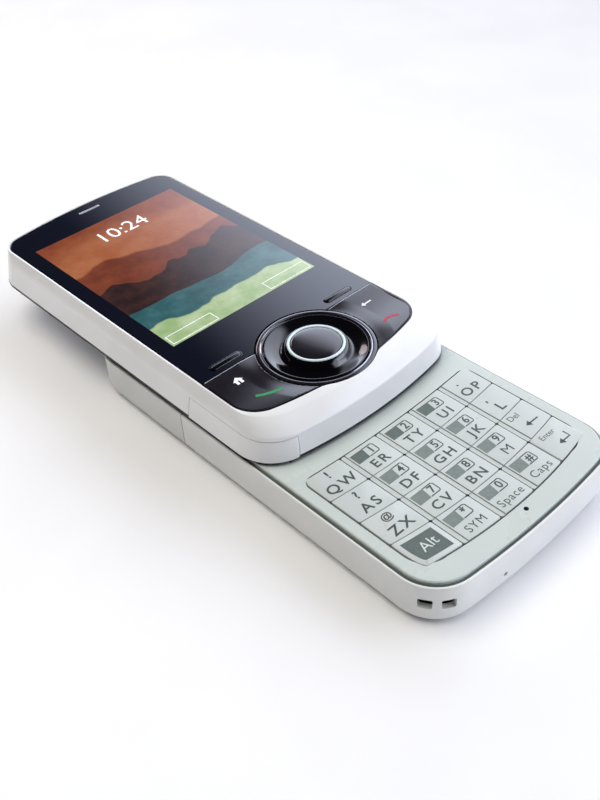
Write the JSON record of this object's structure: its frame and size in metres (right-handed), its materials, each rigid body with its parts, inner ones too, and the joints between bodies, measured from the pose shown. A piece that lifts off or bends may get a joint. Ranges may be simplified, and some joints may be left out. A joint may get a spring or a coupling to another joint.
{
  "type": "slider phone",
  "caption": "Slider phone, slid open: display half with a jog wheel and navigation keys on a track over a keypad half with paired letter keys.",
  "frame": {"origin": "centre of the keypad half's flat back, phone slid open", "axes": "+X to the right of the screen, +Y towards the earpiece end and along the slide, +Z out of the screen"},
  "size_m": [0.0536, 0.1431, 0.0197],
  "materials": {
    "deck_mint": "satin",
    "shell_grey": "satin",
    "frame_dark": "matte",
    "circuit_board": "solder mask",
    "tinned_sheet": "dull",
    "dome_steel": "bright",
    "silicone": "matte",
    "battery_case": "wrapped",
    "black_module": "matte",
    "window_glass": "polished",
    "antenna_carrier": "matte",
    "track_steel": "brushed",
    "flex_film": "film",
    "spring_steel": "bright",
    "key_pale": "satin",
    "key_dark": "satin",
    "shell_white": "gloss",
    "shoe_nylon": "matte",
    "lens_dark": "gloss",
    "screen": "lit",
    "silver": "satin",
    "key_black": "gloss",
    "nav_plum": "satin",
    "ring_bright": "bright",
    "screw_steel": "plain"
  },
  "bodies": {
    "keypad_half": {"deck_plate": "deck_mint", "mid_frame": "frame_dark", "rear_housing": "shell_grey", "main_board": "circuit_board", "shield_cans": "tinned_sheet", "keypad_domes": "dome_steel", "key_mat": "silicone", "battery": "battery_case", "sim_holder": "tinned_sheet", "usb_socket": "tinned_sheet", "loudspeaker": "black_module", "camera_module": "black_module", "camera_window": "window_glass", "microphone": "tinned_sheet", "antenna": "antenna_carrier", "slide_rails": "track_steel", "slide_flex": "flex_film", "assist_spring": "spring_steel", "housing_screws": "screw_steel"},
    "battery_cover": {"battery_cover": "shell_grey"},
    "volume_key": {"volume_key": "silver"},
    "key_qw": {"key_qw": "key_pale"},
    "key_er": {"key_er": "key_pale"},
    "key_ty": {"key_ty": "key_pale"},
    "key_ui": {"key_ui": "key_pale"},
    "key_op": {"key_op": "key_pale"},
    "key_as": {"key_as": "key_pale"},
    "key_df": {"key_df": "key_pale"},
    "key_gh": {"key_gh": "key_pale"},
    "key_jk": {"key_jk": "key_pale"},
    "key_l": {"key_l": "key_pale"},
    "key_zx": {"key_zx": "key_pale"},
    "key_cv": {"key_cv": "key_pale"},
    "key_bn": {"key_bn": "key_pale"},
    "key_m": {"key_m": "key_pale"},
    "key_del": {"key_del": "key_pale"},
    "key_alt": {"key_alt": "key_dark"},
    "key_sym": {"key_sym": "key_pale"},
    "key_space": {"key_space": "key_pale"},
    "key_caps": {"key_caps": "key_pale"},
    "key_enter": {"key_enter": "key_pale"},
    "display_half": {"display_shell": "shell_white", "carrier_plate": "track_steel", "slide_shoes": "shoe_nylon", "lens": "lens_dark", "lcd_module": "screen", "nav_board": "circuit_board", "receiver": "black_module", "earpiece_grille": "silver", "vibration_motor": "track_steel", "nav_surround": "nav_plum", "hub_ring": "ring_bright"},
    "softkey_left": {"softkey_left": "key_black"},
    "softkey_right": {"softkey_right": "key_black"},
    "nav_key_left": {"nav_key_left": "nav_plum"},
    "nav_key_right": {"nav_key_right": "nav_plum"},
    "scroll_wheel": {"scroll_wheel": "key_black"},
    "center_button": {"center_button": "nav_plum"},
    "card_door": {"card_door": "shell_white"},
    "power_button": {"power_button": "silver"}
  },
  "joints": [
    {"name": "display_slide", "type": "slide", "parent": "keypad_half", "child": "display_half", "axis": [0, 1, 0], "range_m": [-0.04, 0], "deforming": ["slide_flex", "assist_spring"]},
    {"name": "battery_cover_slide", "type": "slide", "parent": "keypad_half", "child": "battery_cover", "axis": [0, -1, 0], "range_m": [0, 0.005]},
    {"name": "volume_key_rock", "type": "hinge", "parent": "keypad_half", "child": "volume_key", "pos_m": [0.0252, 0.0264, 0.0045], "axis": [0, 0, 1], "range_deg": [-1.3, 1.3], "stiffness_Nm_per_rad": 0.2},
    {"name": "key_qw_press", "type": "slide", "parent": "keypad_half", "child": "key_qw", "axis": [0, 0, -1], "range_m": [0, 0.0003], "stiffness_N_per_m": 2000},
    {"name": "key_er_press", "type": "slide", "parent": "keypad_half", "child": "key_er", "axis": [0, 0, -1], "range_m": [0, 0.0003], "stiffness_N_per_m": 2000},
    {"name": "key_ty_press", "type": "slide", "parent": "keypad_half", "child": "key_ty", "axis": [0, 0, -1], "range_m": [0, 0.0003], "stiffness_N_per_m": 2000},
    {"name": "key_ui_press", "type": "slide", "parent": "keypad_half", "child": "key_ui", "axis": [0, 0, -1], "range_m": [0, 0.0003], "stiffness_N_per_m": 2000},
    {"name": "key_op_press", "type": "slide", "parent": "keypad_half", "child": "key_op", "axis": [0, 0, -1], "range_m": [0, 0.0003], "stiffness_N_per_m": 2000},
    {"name": "key_as_press", "type": "slide", "parent": "keypad_half", "child": "key_as", "axis": [0, 0, -1], "range_m": [0, 0.0003], "stiffness_N_per_m": 2000},
    {"name": "key_df_press", "type": "slide", "parent": "keypad_half", "child": "key_df", "axis": [0, 0, -1], "range_m": [0, 0.0003], "stiffness_N_per_m": 2000},
    {"name": "key_gh_press", "type": "slide", "parent": "keypad_half", "child": "key_gh", "axis": [0, 0, -1], "range_m": [0, 0.0003], "stiffness_N_per_m": 2000},
    {"name": "key_jk_press", "type": "slide", "parent": "keypad_half", "child": "key_jk", "axis": [0, 0, -1], "range_m": [0, 0.0003], "stiffness_N_per_m": 2000},
    {"name": "key_l_press", "type": "slide", "parent": "keypad_half", "child": "key_l", "axis": [0, 0, -1], "range_m": [0, 0.0003], "stiffness_N_per_m": 2000},
    {"name": "key_zx_press", "type": "slide", "parent": "keypad_half", "child": "key_zx", "axis": [0, 0, -1], "range_m": [0, 0.0003], "stiffness_N_per_m": 2000},
    {"name": "key_cv_press", "type": "slide", "parent": "keypad_half", "child": "key_cv", "axis": [0, 0, -1], "range_m": [0, 0.0003], "stiffness_N_per_m": 2000},
    {"name": "key_bn_press", "type": "slide", "parent": "keypad_half", "child": "key_bn", "axis": [0, 0, -1], "range_m": [0, 0.0003], "stiffness_N_per_m": 2000},
    {"name": "key_m_press", "type": "slide", "parent": "keypad_half", "child": "key_m", "axis": [0, 0, -1], "range_m": [0, 0.0003], "stiffness_N_per_m": 2000},
    {"name": "key_del_press", "type": "slide", "parent": "keypad_half", "child": "key_del", "axis": [0, 0, -1], "range_m": [0, 0.0003], "stiffness_N_per_m": 2000},
    {"name": "key_alt_press", "type": "slide", "parent": "keypad_half", "child": "key_alt", "axis": [0, 0, -1], "range_m": [0, 0.0003], "stiffness_N_per_m": 2000},
    {"name": "key_sym_press", "type": "slide", "parent": "keypad_half", "child": "key_sym", "axis": [0, 0, -1], "range_m": [0, 0.0003], "stiffness_N_per_m": 2000},
    {"name": "key_space_press", "type": "slide", "parent": "keypad_half", "child": "key_space", "axis": [0, 0, -1], "range_m": [0, 0.0003], "stiffness_N_per_m": 2000},
    {"name": "key_caps_press", "type": "slide", "parent": "keypad_half", "child": "key_caps", "axis": [0, 0, -1], "range_m": [0, 0.0003], "stiffness_N_per_m": 2000},
    {"name": "key_enter_press", "type": "slide", "parent": "keypad_half", "child": "key_enter", "axis": [0, 0, -1], "range_m": [0, 0.0003], "stiffness_N_per_m": 2000},
    {"name": "softkey_left_press", "type": "slide", "parent": "display_half", "child": "softkey_left", "axis": [0, 0, -1], "range_m": [0, 0.00025], "stiffness_N_per_m": 2000},
    {"name": "softkey_right_press", "type": "slide", "parent": "display_half", "child": "softkey_right", "axis": [0, 0, -1], "range_m": [0, 0.00025], "stiffness_N_per_m": 2000},
    {"name": "nav_key_left_rock", "type": "hinge", "parent": "display_half", "child": "nav_key_left", "pos_m": [-0.0175, 0.0043, 0.0166], "axis": [1, 0, 0], "range_deg": [-2, 2], "stiffness_Nm_per_rad": 0.2},
    {"name": "nav_key_right_rock", "type": "hinge", "parent": "display_half", "child": "nav_key_right", "pos_m": [0.0175, 0.0043, 0.0166], "axis": [1, 0, 0], "range_deg": [-2, 2], "stiffness_Nm_per_rad": 0.2},
    {"name": "scroll_wheel_turn", "type": "hinge", "parent": "display_half", "child": "scroll_wheel", "pos_m": [0, 0.0052, 0.017], "axis": [0, 0, 1], "continuous": true},
    {"name": "center_button_press", "type": "slide", "parent": "display_half", "child": "center_button", "axis": [0, 0, -1], "range_m": [0, 0.00025], "stiffness_N_per_m": 2000},
    {"name": "card_door_swing", "type": "hinge", "parent": "display_half", "child": "card_door", "pos_m": [-0.01931, -0.00902, 0.013], "axis": [0, 0, 1], "range_deg": [0, 50]},
    {"name": "power_button_press", "type": "slide", "parent": "display_half", "child": "power_button", "axis": [0, -1, 0], "range_m": [0, 0.0004], "stiffness_N_per_m": 2000}
  ]
}
